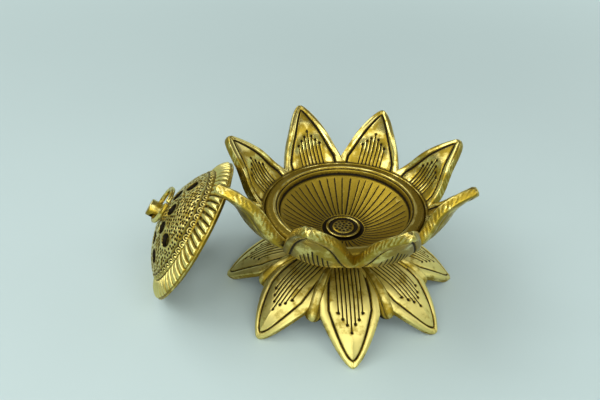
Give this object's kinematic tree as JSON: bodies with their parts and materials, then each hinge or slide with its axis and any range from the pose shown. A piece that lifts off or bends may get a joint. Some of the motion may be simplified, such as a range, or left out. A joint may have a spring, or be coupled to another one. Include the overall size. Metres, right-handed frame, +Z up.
{
  "type": "dhoop burner",
  "caption": "Cast brass lotus dhoop burner on a petal base, with a round dish inside an open petal crown and a pierced domed lid leaning beside it.",
  "frame": {"origin": "middle of the footprint of the burner and its leaning lid, on the table", "axes": "+Z up, +X from the leaning lid towards the burner, -Y towards the picture's camera"},
  "size_m": [0.1522, 0.1146, 0.0705],
  "materials": {
    "cast_brass": "antique cast brass, polished high spots, dark patina in the cuts",
    "turned_brass": "turned brass with engraved rays, dark in the grooves",
    "stippled_brass": "stippled antique brass",
    "wire_brass": "drawn brass wire",
    "plain_brass": "plain brass"
  },
  "bodies": {
    "burner": {"lower_lotus": "cast_brass", "upper_lotus": "cast_brass", "dish": "turned_brass", "centre_bolt": "cast_brass", "base_washer": "plain_brass", "base_nut": "plain_brass"},
    "lid": {"lid_dome": "stippled_brass", "lid_lug": "stippled_brass"},
    "ring": {"lid_ring": "wire_brass"}
  },
  "joints": [
    {"name": "lid_lift", "type": "slide", "parent": "burner", "child": "lid", "axis": [-0.8371, 0.0322, 0.5461], "range_m": [0, 0.06]},
    {"name": "ring_swing", "type": "hinge", "parent": "lid", "child": "ring", "pos_m": [-0.07099, 0.00178, 0.04263], "axis": [-0.2737, -0.8889, -0.3672], "range_deg": [-11, 200]}
  ]
}
